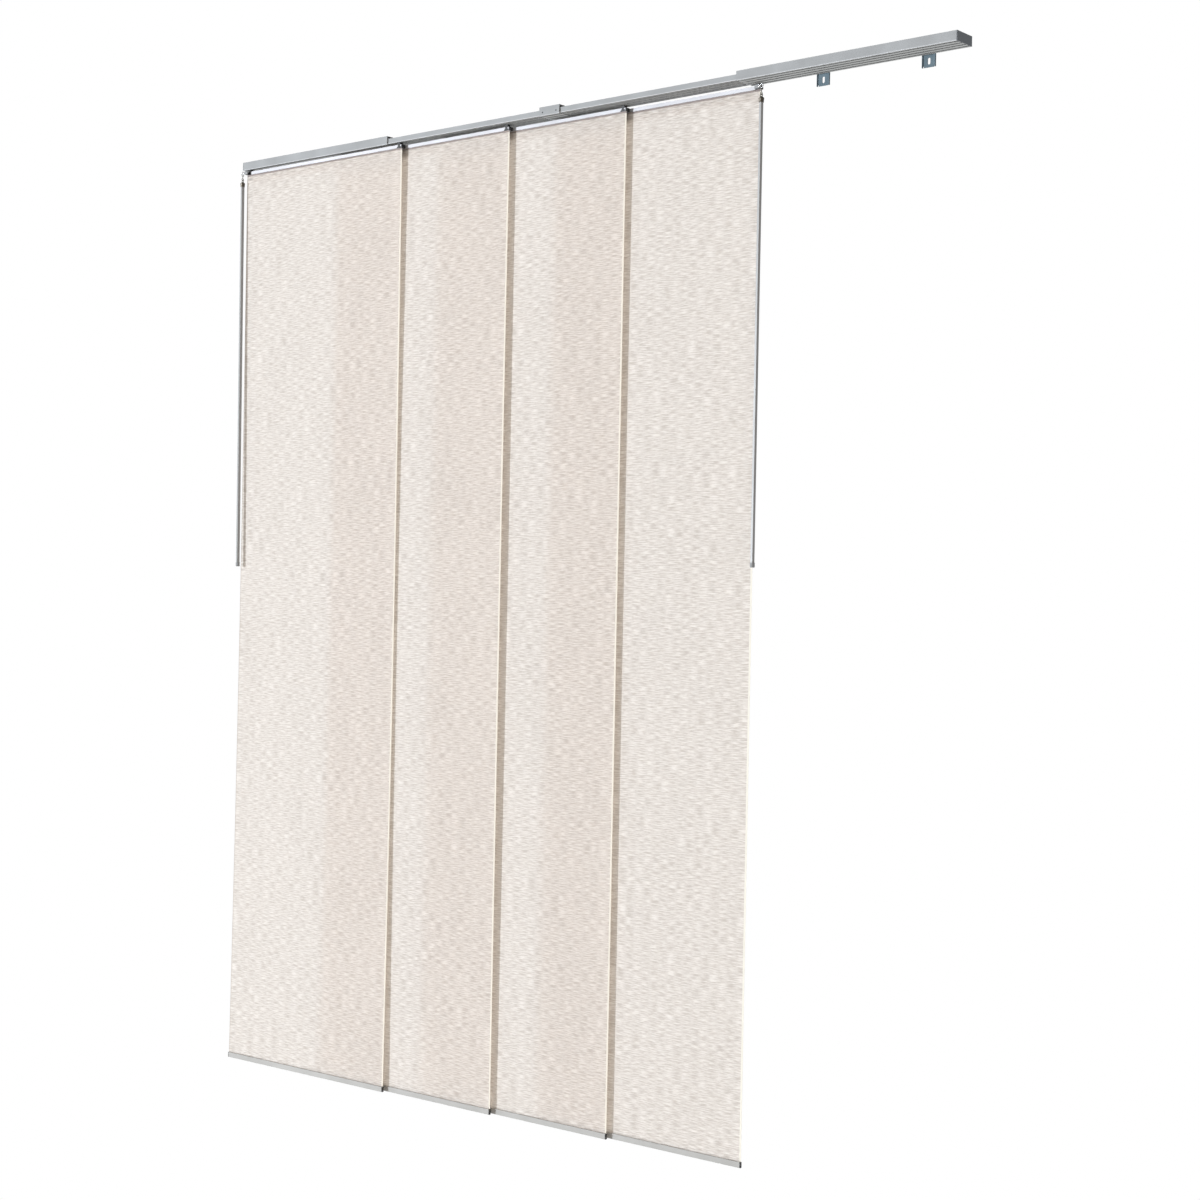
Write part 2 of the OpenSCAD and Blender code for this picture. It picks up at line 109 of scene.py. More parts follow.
# Weave: how much each noise counts, and the ranges that become tone and streaks
SLUB_WEIGHT = 0.70
WEFT_WEIGHT = 0.22
WARP_WEIGHT = 0.04
CLOUD_WEIGHT = 0.04
CLOUD_CELLS = (7.0, 5.0)
TONE_RANGE = (0.39, 0.61)
STREAK_RANGE = (0.60, 0.78)

# Fabric: colours of its threads and of the painted highlight and painted shade bands, how strongly the bands
# show, and the light it lets through
THREAD_DARK = (0.66, 0.64, 0.615, 1.0)
THREAD_LIGHT = (1.0, 0.985, 0.965, 1.0)
STREAK_COLOUR = (0.58, 0.47, 0.36, 1.0)
STREAK_SHARE = 0.22
RIGHT_HIGHLIGHT_COLOUR = (1.0, 0.97, 0.90, 1.0)
RIGHT_HIGHLIGHT_FADE = 0.2
LEFT_SHADE_COLOUR = (0.48, 0.455, 0.425, 1.0)
LEFT_SHADE_CORE = 0.7
LEFT_SHADE_SHARE = 0.6
TOP_SHADE_COLOUR = (0.42, 0.38, 0.385, 1.0)
TOP_SHADE_FADE = 0.1
SHADE_COLOUR = (0.36, 0.33, 0.31, 1.0)
SHADE_SHARE = 0.65
THROUGH_DARK = (0.875, 0.785, 0.70, 1.0)
THROUGH_LIGHT = (1.0, 0.93, 0.86, 1.0)
THROUGH_SHARE = 0.545

# Grain of the finishes: cells per metre along each axis, and its strength
DRAWN = (5.0, 1400.0, 1400.0)
DRAWN_UPRIGHT = (900.0, 900.0, 6.0)
MOULDED = (1500.0, 1500.0, 1500.0)
ROLLED = (700.0, 40.0, 40.0)
SMUDGE_CELLS = 18.0
GRAIN_RANGE = (0.3, 0.7)
GRAIN_BUMP = 0.06
GRAIN_DEPTH = 0.0002

# Edges, lighter partly as wear and partly as a painted highlight: radius in metres, the turn of the normal
# that counts as an edge, and how much it lightens
EDGE_RADIUS = 0.0003
EDGE_TURN = (0.995, 0.8)
EDGE_WEAR_AND_HIGHLIGHT_SHARE = 0.6

# Rail faces, in metres: fronts and feet of the outer and inner rails, then the painted colours of their
# faces: painted light on the faces below, painted shade in the channels, a painted highlight along the
# front's foot
OUTER_FRONT = -0.0296
INNER_FRONT = -0.0264
OUTER_FOOT = -0.0225
INNER_FOOT = -0.0207
GROOVE_LIP = -0.003
FOOT_CLEAR = 0.0003
FOOT_HIGHLIGHT_HEIGHT = 0.0013
FOOT_HIGHLIGHT_SHARE = 0.6
FOOT_HIGHLIGHT_COLOUR = (0.85, 0.85, 0.87, 1.0)
CHANNEL_SHADE_COLOUR = (0.10, 0.10, 0.10, 1.0)
OUTER_UNDERSIDE_LIGHT = (0.57, 0.58, 0.575, 1.0)
INNER_UNDERSIDE_LIGHT = (0.78, 0.79, 0.785, 1.0)

# Hook strips, in metres
STRIP_BASE_SHARE = 0.5
HOOK_PITCH = 0.0032
HOOK_STEM_R = 0.00022
HOOK_HEAD_R = 0.00042
HOOK_HEAD_FLATNESS = 0.4
HOOK_CLEAR = 0.00005


def fill(tree, socket, value):
    """Links a socket to another one, or sets it to a plain value."""
    if isinstance(value, bpy.types.NodeSocket):
        tree.links.new(value, socket)
    else:
        socket.default_value = value


def put(tree, kind, settings=None, **inputs):
    """Adds a node with its settings, and fills its inputs by name; _ in a name stands for a space."""
    node = tree.nodes.new(kind)
    for key, value in (settings or {}).items():
        setattr(node, key, value)
    for key, value in inputs.items():
        fill(tree, node.inputs[key.replace("_", " ")], value)
    return node


def maths(tree, operation, *values):
    """Output of a math node on one to three values."""
    node = tree.nodes.new("ShaderNodeMath")
    node.operation = operation
    for socket, value in zip(node.inputs, values):
        fill(tree, socket, value)
    return node.outputs[0]


def blend_colours(tree, share, first, second):
    """Colour between two colours, by a share from 0 to 1."""
    node = tree.nodes.new("ShaderNodeMix")
    node.data_type = "RGBA"
    fill(tree, node.inputs[0], share)
    fill(tree, node.inputs[6], first)
    fill(tree, node.inputs[7], second)
    return node.outputs[2]


def ramp(tree, value, low, high, to_low=0.0, to_high=1.0, smooth=True):
    """Value mapped from one range to another, clamped."""
    settings = {"interpolation_type": "SMOOTHSTEP" if smooth else "LINEAR"}
    node = put(tree, "ShaderNodeMapRange", settings, Value=value, From_Min=low, From_Max=high,
               To_Min=to_low, To_Max=to_high)
    return node.outputs["Result"]


def stretched_noise(tree, scale, detail=2.0, roughness=0.5):
    """Noise on Object coordinates, stretched by a scale for each axis, in cells per metre."""
    place = tree.nodes.new("ShaderNodeTexCoord").outputs["Object"]
    mapped = put(tree, "ShaderNodeMapping", Vector=place, Scale=scale)
    noise = put(tree, "ShaderNodeTexNoise", Vector=mapped.outputs["Vector"], Scale=1.0,
                Detail=detail, Roughness=roughness)
    return noise.outputs["Fac"]


def shader_group(name, inputs, outputs):
    """Empty shader group with named inputs (kind, default) and outputs (kind).

    Gives its tree, its inlet and its outlet.
    """
    tree = bpy.data.node_groups.new(name, "ShaderNodeTree")
    for label, (kind, default) in inputs.items():
        tree.interface.new_socket(label, in_out="INPUT", socket_type=kind).default_value = default
    for label, kind in outputs.items():
        tree.interface.new_socket(label, in_out="OUTPUT", socket_type=kind)
    inlet = tree.nodes.new("NodeGroupInput")
    outlet = tree.nodes.new("NodeGroupOutput")
    return tree, inlet, outlet


VALUE = "NodeSocketFloat"
VECTOR = "NodeSocketVector"


def make_grain_group():
    """Drawn or moulded grain: noise stretched along the lines of the surface, with broad smudges."""
    inputs = {"Scale": (VECTOR, DRAWN)}
    tree, inlet, outlet = shader_group("surface grain", inputs, {"Grain": VALUE, "Smudge": VALUE})
    grain = stretched_noise(tree, inlet.outputs["Scale"], 3.0, 0.6)
    place = tree.nodes.new("ShaderNodeTexCoord").outputs["Object"]
    smudge = put(tree, "ShaderNodeTexNoise", Vector=place, Scale=SMUDGE_CELLS, Detail=2.0)
    fill(tree, outlet.inputs["Grain"], grain)
    fill(tree, outlet.inputs["Smudge"], smudge.outputs["Fac"])
    return tree


def make_edge_group():
    """Edges: a rounded normal, and a mask that is 1 along the edges, which lightens them as wear and as a
    painted highlight.
    """
    tree, inlet, outlet = shader_group("broken edges", {"Radius": (VALUE, EDGE_RADIUS)},
                                       {"Edge": VALUE, "Normal": VECTOR})
    rounded = put(tree, "ShaderNodeBevel", {"samples": 4}, Radius=inlet.outputs["Radius"])
    flat = tree.nodes.new("ShaderNodeNewGeometry").outputs["Normal"]
    turn = tree.nodes.new("ShaderNodeVectorMath")
    turn.operation = "DOT_PRODUCT"
    fill(tree, turn.inputs[0], rounded.outputs["Normal"])
    fill(tree, turn.inputs[1], flat)
    fill(tree, outlet.inputs["Edge"], ramp(tree, turn.outputs["Value"], *EDGE_TURN))
    fill(tree, outlet.inputs["Normal"], rounded.outputs["Normal"])
    return tree


def make_weave_group():
    """Plain weave with thick slubs in the weft: tone and height of the threads, and a mask of streaks."""
    inputs = {"Slub Length": (VALUE, SLUB_LENGTH), "Slub Height": (VALUE, SLUB_HEIGHT),
              "Thread": (VALUE, THREAD)}
    outputs = {"Tone": VALUE, "Streak": VALUE, "Height": VALUE}
    tree, inlet, outlet = shader_group("slub weave", inputs, outputs)
    along = maths(tree, "DIVIDE", 1.0, inlet.outputs["Slub Length"])
    across = maths(tree, "DIVIDE", 1.0, inlet.outputs["Slub Height"])
    thread = maths(tree, "DIVIDE", 1.0, inlet.outputs["Thread"])

    def noise_at(x_cells, z_cells, detail):
        scale = put(tree, "ShaderNodeCombineXYZ", X=x_cells, Y=1.0, Z=z_cells)
        return stretched_noise(tree, scale.outputs["Vector"], detail)

    slub = noise_at(along, across, 1.0)
    fine_weft = noise_at(maths(tree, "MULTIPLY", along, 4.0), thread, 1.0)
    fine_warp = noise_at(thread, maths(tree, "MULTIPLY", along, 0.7), 1.0)
    cloud = noise_at(*CLOUD_CELLS, 3.0)
    slub_part = maths(tree, "MULTIPLY", slub, SLUB_WEIGHT)
    weft_part = maths(tree, "MULTIPLY_ADD", fine_weft, WEFT_WEIGHT, slub_part)
    warp_part = maths(tree, "MULTIPLY_ADD", fine_warp, WARP_WEIGHT, weft_part)
    tone = maths(tree, "MULTIPLY_ADD", cloud, CLOUD_WEIGHT, warp_part)
    dash = noise_at(maths(tree, "MULTIPLY", along, 0.9), maths(tree, "MULTIPLY", across, 1.2), 1.0)
    fill(tree, outlet.inputs["Tone"], ramp(tree, tone, *TONE_RANGE, smooth=False))
    fill(tree, outlet.inputs["Streak"], ramp(tree, dash, *STREAK_RANGE))
    fill(tree, outlet.inputs["Height"], tone)
    return tree


GRAIN = make_grain_group()
EDGES = make_edge_group()
WEAVE = make_weave_group()


def use_group(tree, group, **inputs):
    """Places a shader group in a material."""
    node = tree.nodes.new("ShaderNodeGroup")
    node.node_tree = group
    for key, value in inputs.items():
        fill(tree, node.inputs[key.replace("_", " ")], value)
    return node


def new_material(name, **constants):
    """Material with one Principled shader, and the constants set on its own sockets."""
    material = bpy.data.materials.new(name)
    material.use_nodes = True
    shader = material.node_tree.nodes["Principled BSDF"]
    for key, value in constants.items():
        shader.inputs[key.replace("_", " ")].default_value = value
    return material, material.node_tree, shader


def grained(name, dark, light, rough, scale, edge_wear_and_highlight_colour, paint=None, **constants):
    """Metal or plastic with grain in its colour, roughness and height, and edges painted lighter, partly as
    wear and partly as a painted highlight.

    A paint function may change the grained colour before the edges are laid over it.
    """
    material, tree, shader = new_material(name, **constants)
    grain = use_group(tree, GRAIN, Scale=scale)
    edges = use_group(tree, EDGES)
    tone = ramp(tree, grain.outputs["Grain"], *GRAIN_RANGE, smooth=False)
    body = blend_colours(tree, tone, (*dark, 1.0), (*light, 1.0))
    if paint:
        body = paint(tree, body)
    # Lighter edges: partly wear, partly a painted highlight.
    wear_and_highlight_share = maths(tree, "MULTIPLY", edges.outputs["Edge"], EDGE_WEAR_AND_HIGHLIGHT_SHARE)
    fill(tree, shader.inputs["Base Color"], blend_colours(tree, wear_and_highlight_share, body, (*edge_wear_and_highlight_colour, 1.0)))
    smudged = maths(tree, "MULTIPLY_ADD", grain.outputs["Smudge"], 0.5,
                    maths(tree, "MULTIPLY", grain.outputs["Grain"], 0.5))
    fill(tree, shader.inputs["Roughness"], ramp(tree, smudged, *GRAIN_RANGE, *rough, smooth=False))
    height = put(tree, "ShaderNodeBump", Strength=GRAIN_BUMP, Distance=GRAIN_DEPTH,
                 Height=grain.outputs["Grain"], Normal=edges.outputs["Normal"])
    fill(tree, shader.inputs["Normal"], height.outputs["Normal"])
    return material


def between(tree, value, low, high):
    """1 where a value lies between two limits, and 0 elsewhere."""
    above = maths(tree, "GREATER_THAN", value, low)
    below = maths(tree, "LESS_THAN", value, high)
    return maths(tree, "MULTIPLY", above, below)


def rail_faces(tree, body):
    """Rail colour: painted light on the faces below, painted shade in the channels inside, a painted
    highlight along the front's foot.
    """
    where = tree.nodes.new("ShaderNodeTexCoord").outputs["Object"]
    place = put(tree, "ShaderNodeSeparateXYZ", Vector=where)
    normal = tree.nodes.new("ShaderNodeNewGeometry").outputs["Normal"]
    facing = put(tree, "ShaderNodeSeparateXYZ", Vector=normal)
    depth, height = place.outputs["Y"], place.outputs["Z"]
    # Faces below painted lighter, inner rail lighter than outer: painted light from the floor.
    down = ramp(tree, facing.outputs["Z"], -0.6, -0.8)
    foot = ramp(tree, height, OUTER_FOOT, INNER_FOOT)
    underside_lit = blend_colours(tree, down, body, blend_colours(tree, foot, OUTER_UNDERSIDE_LIGHT, INNER_UNDERSIDE_LIGHT))
    # Channels inside painted dark: painted shade in the hollows.
    covered = ramp(tree, facing.outputs["Z"], 0.8, 0.6)
    within = maths(tree, "MULTIPLY", between(tree, depth, INNER_FRONT, -INNER_FRONT),
                   between(tree, height, INNER_FOOT + FOOT_CLEAR, GROOVE_LIP))
    channel_shade = maths(tree, "MULTIPLY", within, covered)
    channel_shaded = blend_colours(tree, channel_shade, underside_lit, CHANNEL_SHADE_COLOUR)
    # Bright line along the foot of each rail's front: a painted highlight.
    outer_foot_highlight = maths(tree, "MULTIPLY", maths(tree, "LESS_THAN", depth, OUTER_FRONT),
                       maths(tree, "LESS_THAN", height, OUTER_FOOT + FOOT_HIGHLIGHT_HEIGHT))
    inner_foot_highlight = maths(tree, "MULTIPLY", between(tree, depth, OUTER_FRONT, INNER_FRONT),
                       between(tree, height, INNER_FOOT, INNER_FOOT + FOOT_HIGHLIGHT_HEIGHT))
    foot_highlight = maths(tree, "MULTIPLY", maths(tree, "MAXIMUM", outer_foot_highlight, inner_foot_highlight), FOOT_HIGHLIGHT_SHARE)
    return blend_colours(tree, foot_highlight, channel_shaded, FOOT_HIGHLIGHT_COLOUR)


def woven_fabric():
    """Cream slub fabric that lets warm light through, with painted shade along the left edge, under the top
    and above the bar, and a painted highlight along the right edge.
    """
    material, tree, shader = new_material("cream slub fabric", Roughness=0.92, Sheen_Weight=0.15,
                                          Sheen_Roughness=0.6, Specular_IOR_Level=0.15)
    weave = use_group(tree, WEAVE)
    threads = blend_colours(tree, weave.outputs["Tone"], THREAD_DARK, THREAD_LIGHT)
    streak = maths(tree, "MULTIPLY", weave.outputs["Streak"], STREAK_SHARE)
    streaked = blend_colours(tree, streak, threads, STREAK_COLOUR)
    across = put(tree, "ShaderNodeSeparateXYZ", Vector=tree.nodes.new("ShaderNodeUVMap").outputs["UV"])
    # Pale band along the right edge: a painted highlight.
    right_highlight_from = 1.0 - RIGHT_HIGHLIGHT_WIDTH / PANEL_WIDTH
    right_highlight = ramp(tree, across.outputs["X"], right_highlight_from, right_highlight_from + RIGHT_HIGHLIGHT_FADE * RIGHT_HIGHLIGHT_WIDTH / PANEL_WIDTH)
    highlighted = blend_colours(tree, right_highlight, streaked, RIGHT_HIGHLIGHT_COLOUR)
    # Grey band along the left edge: painted shade.
    left_shade_to = LEFT_SHADE_WIDTH / PANEL_WIDTH
    left_shade = ramp(tree, across.outputs["X"], left_shade_to, LEFT_SHADE_CORE * left_shade_to, 0.0, LEFT_SHADE_SHARE)
    left_shaded = blend_colours(tree, left_shade, highlighted, LEFT_SHADE_COLOUR)
    # Dark band along the top, under the carrier: painted shade.
    top_shade_from = 1.0 - TOP_SHADE_WIDTH / PANEL_DROP
    top_shade = ramp(tree, across.outputs["Y"], top_shade_from, top_shade_from + TOP_SHADE_FADE * TOP_SHADE_WIDTH / PANEL_DROP)
    top_shaded = blend_colours(tree, top_shade, left_shaded, TOP_SHADE_COLOUR)
    shade_to = (BAR_COVER + BAR_SHADE) / PANEL_DROP
    bar_shade = ramp(tree, across.outputs["Y"], shade_to, BAR_COVER / PANEL_DROP, 0.0, SHADE_SHARE)
    coloured = blend_colours(tree, bar_shade, top_shaded, SHADE_COLOUR)
    fill(tree, shader.inputs["Base Color"], coloured)
    bump = put(tree, "ShaderNodeBump", Strength=0.5, Distance=0.0005, Height=weave.outputs["Height"])
    fill(tree, shader.inputs["Normal"], bump.outputs["Normal"])
    let_through = blend_colours(tree, weave.outputs["Tone"], THROUGH_DARK, THROUGH_LIGHT)
    # The painted highlight along the right edge also tints the light let through.
    highlighted_through = blend_colours(tree, right_highlight, let_through, RIGHT_HIGHLIGHT_COLOUR)
    through = put(tree, "ShaderNodeBsdfTranslucent", Color=highlighted_through)
    both = put(tree, "ShaderNodeMixShader", Fac=THROUGH_SHARE)
    tree.links.new(shader.outputs["BSDF"], both.inputs[1])
    tree.links.new(through.outputs["BSDF"], both.inputs[2])
    tree.links.new(both.outputs["Shader"], tree.nodes["Material Output"].inputs["Surface"])
    return material


def hook_nylon():
    """White moulded hook strip, with a woven ground."""
    material, tree, shader = new_material("hook nylon", Roughness=0.6)
    weave = use_group(tree, WEAVE, Slub_Length=0.003, Slub_Height=0.0008, Thread=0.0004)
    tone = blend_colours(tree, weave.outputs["Tone"], (0.62, 0.61, 0.59, 1.0), (0.82, 0.81, 0.79, 1.0))
    fill(tree, shader.inputs["Base Color"], tone)
    bump = put(tree, "ShaderNodeBump", Strength=0.4, Distance=0.0003, Height=weave.outputs["Height"])
    fill(tree, shader.inputs["Normal"], bump.outputs["Normal"])
    return material


# Size of one panel, and one finish for each material slot of the CAD nodes
panel_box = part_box("fabric_1")
PANEL_WIDTH = panel_box[1].x - panel_box[0].x
PANEL_DROP = panel_box[1].z - panel_box[0].z

# Each finish: grain colours, roughness, grain scale, and a lighter edge colour, partly wear and partly a
# painted highlight.
FINISHES = {
    "satin_aluminium": grained(
        "satin aluminium", (0.475, 0.482, 0.486), (0.55, 0.557, 0.561), (0.84, 0.94), DRAWN,
        (0.72, 0.73, 0.74), paint=rail_faces, Metallic=1.0),
    "bright_aluminium": grained(
        "bright aluminium", (0.59, 0.585, 0.60), (0.67, 0.665, 0.68), (0.70, 0.80), DRAWN,
        (0.86, 0.86, 0.88), Metallic=1.0),
    "bar_aluminium": grained(
        "bar aluminium", (0.50, 0.488, 0.468), (0.575, 0.563, 0.543), (0.78, 0.88), DRAWN,
        (0.74, 0.74, 0.73), Metallic=1.0),
    "zinc_plated": grained(
        "zinc sheet", (0.11, 0.15, 0.175), (0.22, 0.275, 0.305), (0.70, 0.84), ROLLED,
        (0.55, 0.62, 0.66), Metallic=1.0),
    "grey_plastic": grained(
        "grey plastic", (0.24, 0.245, 0.25), (0.30, 0.305, 0.31), (0.50, 0.62), MOULDED,
        (0.42, 0.42, 0.43)),
    "dark_plastic": grained(
        "dark plastic", (0.125, 0.132, 0.142), (0.160, 0.167, 0.178), (0.42, 0.55), MOULDED,
        (0.22, 0.23, 0.25)),
    "black_plastic": grained(
        "black plastic", (0.010, 0.010, 0.011), (0.018, 0.018, 0.019), (0.38, 0.52), MOULDED,
        (0.05, 0.05, 0.052)),
    "black_steel": grained(
        "black steel", (0.010, 0.010, 0.010), (0.022, 0.022, 0.022), (0.30, 0.45), MOULDED,
        (0.08, 0.08, 0.08)),
    "steel_wire": grained(
        "plated wire", (0.60, 0.60, 0.61), (0.72, 0.72, 0.73), (0.20, 0.32), MOULDED,
        (0.80, 0.80, 0.81), Metallic=1.0),
    "dark_metal": grained(
        "bronzed steel", (0.085, 0.074, 0.060), (0.150, 0.133, 0.110), (0.36, 0.50), MOULDED,
        (0.28, 0.25, 0.21), Metallic=0.85),
    "wand_plastic": grained(
        "wand plastic", (0.30, 0.30, 0.30), (0.36, 0.36, 0.36), (0.36, 0.46), DRAWN_UPRIGHT,
        (0.50, 0.50, 0.50)),
    "cream_fabric": woven_fabric(),
    "white_tape": hook_nylon(),
}


def dress_nodes():
    """Gives every CAD node the finish of its slot."""
    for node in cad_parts.values():
        for slot in node.material_slots:
            slot.material = FINISHES[slot.material.name.split(".")[0]]


def geometry_tree(name, inputs):
    """Empty geometry tree with named inputs (kind, default).

    Gives the tree, its inlet and the identifiers of the inputs.
    """
    tree = bpy.data.node_groups.new(name, "GeometryNodeTree")
    tree.interface.new_socket("Geometry", in_out="OUTPUT", socket_type="NodeSocketGeometry")
    names = {}
    for label, (kind, default) in inputs.items():
        socket = tree.interface.new_socket(label, in_out="INPUT", socket_type=kind)
        if default is not None:
            socket.default_value = default
        names[label] = socket.identifier
    return tree, tree.nodes.new("NodeGroupInput"), names


def close_tree(tree, geometry, material):
    """Ends a geometry tree in real faces with a material."""
    real = put(tree, "GeometryNodeRealizeInstances", Geometry=geometry)
    painted = put(tree, "GeometryNodeSetMaterial", Geometry=real.outputs["Geometry"], Material=material)
    outlet = tree.nodes.new("NodeGroupOutput")
    tree.links.new(painted.outputs["Geometry"], outlet.inputs["Geometry"])


def grow(name, tree, names, **values):
    """Runs a geometry tree with its values on a new object, and keeps the result as a plain mesh."""
    piece = bpy.data.objects.new(name, bpy.data.meshes.new(name))
    bpy.context.scene.collection.objects.link(piece)
    modifier = piece.modifiers.new("shape", "NODES")
    modifier.node_group = tree
    for label, value in values.items():
        modifier[names[label.replace("_", " ")]] = value
    evaluated = piece.evaluated_get(bpy.context.evaluated_depsgraph_get())
    mesh = bpy.data.meshes.new_from_object(evaluated)
    mesh.name = name
    piece.modifiers.remove(modifier)
    piece.data = mesh
    return piece


LENGTH = ("NodeSocketFloat", 0.1)
COUNT = ("NodeSocketInt", 2)
PLACE = ("NodeSocketVector", (0.0, 0.0, 0.0))
PAINT = ("NodeSocketMaterial", None)
UPRIGHT = (math.pi / 2, 0.0, 0.0)


def make_panel_tree():
    """Hanging panel: a thin sheet whose two faces carry the same slub ridges, with its own UV map."""
    inputs = {"Width": LENGTH, "Drop": LENGTH, "Thickness": LENGTH, "Columns": COUNT, "Rows": COUNT,
              "Slub Length": LENGTH, "Slub Height": LENGTH, "Relief": LENGTH, "Bow": LENGTH, "Seed": LENGTH,
              "Middle": PLACE, "Material": PAINT}
    tree, inlet, names = geometry_tree("slub panel", inputs)
    size = inlet.outputs
    grid = put(tree, "GeometryNodeMeshGrid", Size_X=size["Width"], Size_Y=size["Drop"],
               Vertices_X=size["Columns"], Vertices_Y=size["Rows"])
    stored = put(tree, "GeometryNodeStoreNamedAttribute", {"data_type": "FLOAT2", "domain": "CORNER"},
                 Geometry=grid.outputs["Mesh"], Name="UVMap", Value=grid.outputs["UV Map"])
    place = tree.nodes.new("GeometryNodeInputPosition").outputs["Position"]
    parts = put(tree, "ShaderNodeSeparateXYZ", Vector=place)
    along = maths(tree, "DIVIDE", parts.outputs["X"], size["Slub Length"])
    across = maths(tree, "DIVIDE", parts.outputs["Y"], size["Slub Height"])
    cell = put(tree, "ShaderNodeCombineXYZ", X=along, Y=across, Z=size["Seed"])
    slub = put(tree, "ShaderNodeTexNoise", Vector=cell.outputs["Vector"], Scale=RELIEF_SCALE, Detail=1.0)
    lift = maths(tree, "MULTIPLY", maths(tree, "SUBTRACT", slub.outputs["Fac"], 0.5), size["Relief"])
    height_share = maths(tree, "DIVIDE", parts.outputs["Y"], size["Drop"])
    bow = maths(tree, "MULTIPLY", maths(tree, "COSINE", maths(tree, "MULTIPLY", height_share, math.pi)),
                size["Bow"])
    offset = put(tree, "ShaderNodeCombineXYZ", Z=maths(tree, "ADD", lift, bow))
    ridged = put(tree, "GeometryNodeSetPosition", Geometry=stored.outputs["Geometry"],
                 Offset=offset.outputs["Vector"])
    outward = put(tree, "ShaderNodeCombineXYZ", Z=1.0)
    front = put(tree, "GeometryNodeExtrudeMesh", {"mode": "FACES"}, Mesh=ridged.outputs["Geometry"],
                Offset=outward.outputs["Vector"], Offset_Scale=size["Thickness"], Individual=False)
    back = put(tree, "GeometryNodeFlipFaces", Mesh=ridged.outputs["Geometry"])
    joined = tree.nodes.new("GeometryNodeJoinGeometry")
    tree.links.new(front.outputs["Mesh"], joined.inputs[0])
    tree.links.new(back.outputs["Mesh"], joined.inputs[0])
    welded = put(tree, "GeometryNodeMergeByDistance", Geometry=joined.outputs["Geometry"], Distance=WELD)
    turn = tree.nodes.new("GeometryNodeInputMeshEdgeAngle").outputs["Unsigned Angle"]
    sharp = tree.nodes.new("FunctionNodeCompare")
    sharp.operation = "GREATER_THAN"
    tree.links.new(turn, sharp.inputs[0])
    sharp.inputs[1].default_value = SHARP_TURN
    smooth = put(tree, "GeometryNodeSetShadeSmooth", {"domain": "FACE"}, Geometry=welded.outputs["Geometry"])
    creased = put(tree, "GeometryNodeSetShadeSmooth", {"domain": "EDGE"}, Geometry=smooth.outputs["Geometry"],
                  Selection=sharp.outputs["Result"], Shade_Smooth=False)
    hung = put(tree, "GeometryNodeTransform", Geometry=creased.outputs["Geometry"],
               Translation=size["Middle"], Rotation=UPRIGHT)
    close_tree(tree, hung.outputs["Geometry"], size["Material"])
    return tree, names


def make_strip_tree():
    """Hook strip: a flat ground with rows of small mushroom hooks towards the front."""
    inputs = {"Length": LENGTH, "Height": LENGTH, "Ground": LENGTH, "Reach": LENGTH, "Columns": COUNT,
              "Rows": COUNT, "Pitch": LENGTH, "Stem Radius": LENGTH, "Head Radius": LENGTH,
              "Middle": PLACE, "Material": PAINT}
    tree, inlet, names = geometry_tree("hook strip", inputs)
    size = inlet.outputs
    ground_size = put(tree, "ShaderNodeCombineXYZ", X=size["Length"], Y=size["Height"], Z=size["Ground"])
    ground = put(tree, "GeometryNodeMeshCube", Size=ground_size.outputs["Vector"])
    half_ground = maths(tree, "DIVIDE", size["Ground"], 2.0)
    span_x = maths(tree, "MULTIPLY", maths(tree, "SUBTRACT", size["Columns"], 1.0), size["Pitch"])
    span_y = maths(tree, "MULTIPLY", maths(tree, "SUBTRACT", size["Rows"], 1.0), size["Pitch"])
    grid = put(tree, "GeometryNodeMeshGrid", Size_X=span_x, Size_Y=span_y, Vertices_X=size["Columns"],
               Vertices_Y=size["Rows"])
    stem = put(tree, "GeometryNodeMeshCone", {"fill_type": "NONE"}, Vertices=5, Depth=size["Reach"],
               Radius_Top=size["Stem Radius"], Radius_Bottom=size["Stem Radius"])
    head = put(tree, "GeometryNodeMeshUVSphere", Segments=6, Rings=4, Radius=size["Head Radius"])
    head_half = maths(tree, "MULTIPLY", size["Head Radius"], HOOK_HEAD_FLATNESS)
    head_height = maths(tree, "SUBTRACT", size["Reach"], head_half)
    head_place = put(tree, "ShaderNodeCombineXYZ", Z=head_height)
    flat_head = put(tree, "GeometryNodeTransform", Geometry=head.outputs["Mesh"],
                    Translation=head_place.outputs["Vector"], Scale=(1.0, 1.0, HOOK_HEAD_FLATNESS))
    hook = tree.nodes.new("GeometryNodeJoinGeometry")
    tree.links.new(stem.outputs["Mesh"], hook.inputs[0])
    tree.links.new(flat_head.outputs["Geometry"], hook.inputs[0])
    hooks = put(tree, "GeometryNodeInstanceOnPoints", Points=grid.outputs["Mesh"],
                Instance=hook.outputs["Geometry"])
    lift = put(tree, "ShaderNodeCombineXYZ", Z=half_ground)
    raised = put(tree, "GeometryNodeTransform", Geometry=hooks.outputs["Instances"],
                 Translation=lift.outputs["Vector"])
    joined = tree.nodes.new("GeometryNodeJoinGeometry")
    tree.links.new(ground.outputs["Mesh"], joined.inputs[0])
    tree.links.new(raised.outputs["Geometry"], joined.inputs[0])
    hung = put(tree, "GeometryNodeTransform", Geometry=joined.outputs["Geometry"],
               Translation=size["Middle"], Rotation=UPRIGHT)
    close_tree(tree, hung.outputs["Geometry"], size["Material"])
    return tree, names


